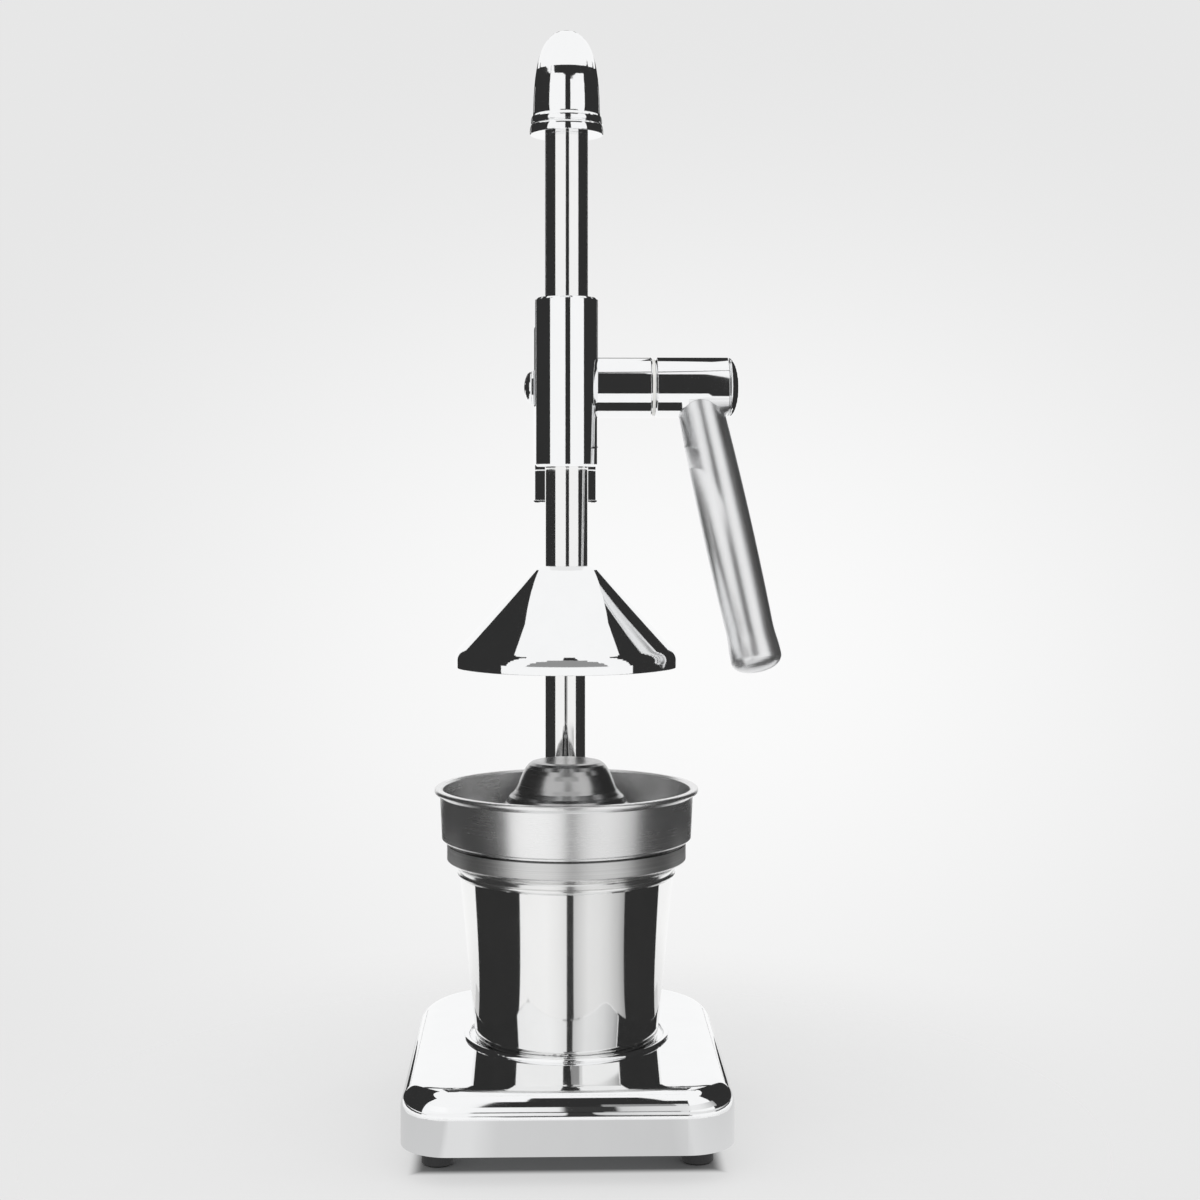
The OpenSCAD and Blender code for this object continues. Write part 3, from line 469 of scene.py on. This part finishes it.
def beside_base(azimuth):
    """How far the outline round the base lies from the press axis, in front and at the sides."""
    x, y = towards(azimuth, 1.0)
    reach = BASE_SIDE / max(abs(x), 0.001)
    return min(reach, BASE_FRONT / -y) if y < -0.001 else reach


def low_card(name, start, end, far, material, near=None, height=LOW, steps=12):
    """A level sector round the press axis, from a radius or from the base's outline."""
    def pair(azimuth):
        inner = near or beside_base(azimuth)
        return [(*towards(azimuth, inner), height), (*towards(azimuth, far), height)]
    band(name, start, end, pair, material, steps)


def build_side_cards():
    """Dark cards that give the bright metal its edges, as flags do in a studio."""
    curved_card("flag_left", FLAG_LEFT, REAR_LEFT, ROOM, 0.0, ROOM_TOP, DARK)
    curved_card("flag_right", FLAG_RIGHT, REAR_RIGHT, ROOM, 0.0, ROOM_TOP, DARK)
    curved_card("flag_left_high", REAR_LEFT, -HIGH_FLAG_TURN, HIGH_FLAG_AT, HIGH_FLAG_LOW, HIGH_FLAG_TOP,
                DARK, steps=4)
    curved_card("flag_right_high", REAR_RIGHT, HIGH_FLAG_TURN, HIGH_FLAG_AT, HIGH_FLAG_LOW, HIGH_FLAG_TOP,
                DARK, steps=4)
    low_card("low_left", PANELS_LEFT, LOW_LEFT, ROOM, DARK)
    low_card("low_right", PANELS_RIGHT, LOW_RIGHT, ROOM, DARK)
    low_card("low_left_rear", LOW_LEFT, -LOW_REAR_TURN, ROOM, DARK, near=LOW_REAR_FROM)
    low_card("low_right_rear", LOW_RIGHT, LOW_REAR_TURN, ROOM, DARK, near=LOW_REAR_FROM)


def build_panels():
    """The panels in front, once for the cup and once for the base's top, and the light for its edge."""
    low_card("low_front", PANELS_LEFT, PANELS_RIGHT, PANELS_END, graded("panels", "azimuth", PANELS))
    curved_card("base_front", PANELS_LEFT, PANELS_RIGHT, BASE_PANELS_AT, BASE_PANELS_LOW, BASE_PANELS_HIGH,
                graded("panels_on_base", "azimuth", PANELS, BASE_PANELS_GAIN))
    curved_card("band_light", EDGE_LIGHT_LEFT, PANELS_RIGHT, EDGE_LIGHT_AT, EDGE_LIGHT_LOW,
                BASE_PANELS_LOW, BRIGHT)


def build_bell_cards():
    """What the bell sees above and in front of it. The canopy hides the flags from its middle."""
    level_card("canopy", CANOPY, CANOPY_Z, BRIGHT)
    level_card("under_boss", UNDER_BOSS, UNDER_BOSS_Z, DARK)
    upright_card("front_lens", BELL_LENS, BELL_CARDS_Y, GREY)
    upright_card("front_rim", RIM_STRIP, BELL_CARDS_Y, BRIGHT)


def build_front_gap():
    """The dark gap in the middle of the front, and the nearer cards."""
    upright_card("front_gap", GAP, GAP_Y, DARK)
    upright_card("front_slit", SLIT, SLIT_Y, DARK)
    upright_card("front_grey", NEAR_GREY, NEAR_Y, GREY)
    upright_card("front_light", NEAR_PALE, NEAR_Y, PALE)
    low_card("front_gap_floor", GAP_FLOOR_LEFT, GAP_FLOOR_RIGHT, GAP_FLOOR_TO, DARK,
             near=GAP_FLOOR_FROM, height=GAP_FLOOR_Z, steps=4)


def build_cap_cards():
    """A bright ring round the top cap's dome, and a dark lens bent round its front."""
    for name, (start, end, low) in CAP_RING_PARTS.items():
        curved_card(name, start, end, CAP_RING, low, CAP_RING_TOP, BRIGHT)

    def pair(azimuth):
        share = (azimuth - CAP_LENS_LEFT) / (CAP_LENS_RIGHT - CAP_LENS_LEFT)
        bulge = 1 - (2 * share - 1) ** 2
        x, y = towards(azimuth, CAP_LENS_AT)
        return [(x, y, CAP_TOP + (29.7 - 13.5 * bulge) * MM), (x, y, CAP_TOP + (30.1 + 8.0 * bulge) * MM)]
    band("cap_lens", CAP_LENS_LEFT, CAP_LENS_RIGHT, pair, DARK, steps=16)


def build_far_cards():
    """The floor as the base's walls see it, and a dark strip far behind the press."""
    level_card("floor_grey", FLOOR_GREY, FLOOR_GREY_Z, graded("floor_levels", "X", FLOOR_LEVELS))
    upright_card("rear_gap", REAR_GAP, ROOM, DARK)


# ---- World, floor, lamp and camera ----

# The camera sees a glow behind the press: its direction, its reach and its two levels
GLOW_TOWARDS = (0.070, 0.995, -0.080)
GLOW_SQUEEZE = (0.72, 0.72, 1.0)
GLOW_REACH = 0.33
GLOW_MIDDLE = 0.965
GLOW_EDGE = 0.80

# The floor is solid near the press and fades out further away
FLOOR_HALF = 0.32
FLOOR_SOLID = 0.12
FLOOR_GONE = 0.30
FLOOR_DARK = (0.285, 0.285, 0.285)
FLOOR_LIGHT = (0.295, 0.295, 0.295)
# It has a light of its own, except in the rectangle below the base, which is left dark as a painted shadow
FLOOR_GLOW = 0.52
SHADE_MIDDLE_Y = 0.008
SHADE_HALF_X = 0.055
SHADE_HALF_Y = 0.069
SHADE_SOFT = 0.003

LAMP_AT = (-0.15, -0.25, 1.15)
LAMP_AIM = Vector((0, 0, 0.1))
LAMP_WIDTH = 0.9
LAMP_DEPTH = 0.7
LAMP_WATTS = 0.8

# The camera is level, between the heights of the bell and the head. The horizon lies above the middle
# of the picture by a share of its width.
LENS_MM = 58.5
SENSOR_MM = 36.0
CAMERA_AT = Vector((-6.6, -761.5, 243.5)) * MM
CAMERA_YAW = -1.48
HORIZON_RISE = 106 / 1200


def build_world():
    """White for the reflections, and a soft round fall-off of it for the camera."""
    world = bpy.data.worlds.new("studio")
    bpy.context.scene.world = world
    world.use_nodes = True
    tree = world.node_tree
    background = tree.nodes["Background"]
    background.inputs["Strength"].default_value = 1.0
    place = add(tree, "ShaderNodeTexCoord")
    centred = add(tree, "ShaderNodeVectorMath", operation="SUBTRACT")
    centred.inputs[1].default_value = GLOW_TOWARDS
    tree.links.new(place.outputs["Generated"], centred.inputs[0])
    squeezed = add(tree, "ShaderNodeVectorMath", operation="MULTIPLY")
    squeezed.inputs[1].default_value = GLOW_SQUEEZE
    tree.links.new(centred.outputs[0], squeezed.inputs[0])
    away = add(tree, "ShaderNodeVectorMath", operation="LENGTH")
    tree.links.new(squeezed.outputs[0], away.inputs[0])
    fall = eased(tree, away.outputs["Value"], 0.0, GLOW_REACH, GLOW_MIDDLE, GLOW_EDGE)
    path = add(tree, "ShaderNodeLightPath")
    level = add(tree, "ShaderNodeMix", data_type="FLOAT")
    level.inputs[2].default_value = 1.0
    tree.links.new(path.outputs["Is Camera Ray"], level.inputs[0])
    tree.links.new(fall, level.inputs[3])
    tree.links.new(level.outputs[0], background.inputs["Color"])


def beyond(tree, value, middle, half, soft):
    """1 where a value lies further than half from the middle, and 0 inside."""
    away = add(tree, "ShaderNodeMath", operation="SUBTRACT")
    tree.links.new(value, away.inputs[0])
    away.inputs[1].default_value = middle
    size = add(tree, "ShaderNodeMath", operation="ABSOLUTE")
    tree.links.new(away.outputs[0], size.inputs[0])
    return eased(tree, size.outputs[0], half - soft, half + soft)


def build_floor():
    """A matt floor that fades out round the press, so that it has no horizon. It glows, except below the
    base, where the missing glow is a painted shadow.
    """
    material, tree, shader = new_material("floor")
    shader.inputs["Roughness"].default_value = 0.9
    shader.inputs["Specular IOR Level"].default_value = 0.0
    grain = noise(tree, stretched(tree), 30.0)
    tree.links.new(tinted(tree, grain, FLOOR_DARK, FLOOR_LIGHT), shader.inputs["Base Color"])
    place = add(tree, "ShaderNodeTexCoord")
    away = add(tree, "ShaderNodeVectorMath", operation="LENGTH")
    tree.links.new(place.outputs["Object"], away.inputs[0])
    tree.links.new(eased(tree, away.outputs["Value"], FLOOR_GONE, FLOOR_SOLID), shader.inputs["Alpha"])
    split = add(tree, "ShaderNodeSeparateXYZ")
    tree.links.new(place.outputs["Object"], split.inputs[0])
    # No glow in the rectangle below the base: a painted shadow
    outside = add(tree, "ShaderNodeMath", operation="MAXIMUM")
    tree.links.new(beyond(tree, split.outputs["X"], 0.0, SHADE_HALF_X, SHADE_SOFT), outside.inputs[0])
    tree.links.new(beyond(tree, split.outputs["Y"], SHADE_MIDDLE_Y, SHADE_HALF_Y, SHADE_SOFT),
                   outside.inputs[1])
    lit = add(tree, "ShaderNodeMath", operation="MULTIPLY")
    tree.links.new(outside.outputs[0], lit.inputs[0])
    lit.inputs[1].default_value = FLOOR_GLOW
    shader.inputs["Emission Color"].default_value = (1, 1, 1, 1)
    tree.links.new(lit.outputs[0], shader.inputs["Emission Strength"])
    outline = rectangle(-FLOOR_HALF, FLOOR_HALF, -FLOOR_HALF, FLOOR_HALF)
    staged("floor", [(x, y, 0) for x, y in outline], [(0, 1, 2, 3)], material)


def build_lamp():
    """A wide soft lamp overhead, which leaves no glint of its own."""
    lamp = bpy.data.lights.new("overhead", "AREA")
    lamp.shape = "RECTANGLE"
    lamp.size = LAMP_WIDTH
    lamp.size_y = LAMP_DEPTH
    lamp.energy = LAMP_WATTS
    item = bpy.data.objects.new("overhead", lamp)
    item.location = LAMP_AT
    item.rotation_euler = (LAMP_AIM - item.location).to_track_quat("-Z", "Y").to_euler()
    item.visible_glossy = False
    bpy.context.scene.collection.objects.link(item)


def build_camera():
    """The camera, which looks along the table at the front of the press."""
    camera = bpy.data.cameras.new("camera")
    camera.lens = LENS_MM
    camera.sensor_width = SENSOR_MM
    camera.clip_start = 0.01
    camera.shift_y = -HORIZON_RISE
    item = bpy.data.objects.new("camera", camera)
    item.location = CAMERA_AT
    item.rotation_euler = (math.radians(90), 0, math.radians(CAMERA_YAW))
    bpy.context.scene.collection.objects.link(item)
    bpy.context.scene.camera = item


build_camera()
build_world()
build_floor()
build_lamp()
build_side_cards()
build_panels()
build_bell_cards()
build_front_gap()
build_cap_cards()
build_far_cards()
bpy.context.scene.view_settings.view_transform = "Standard"
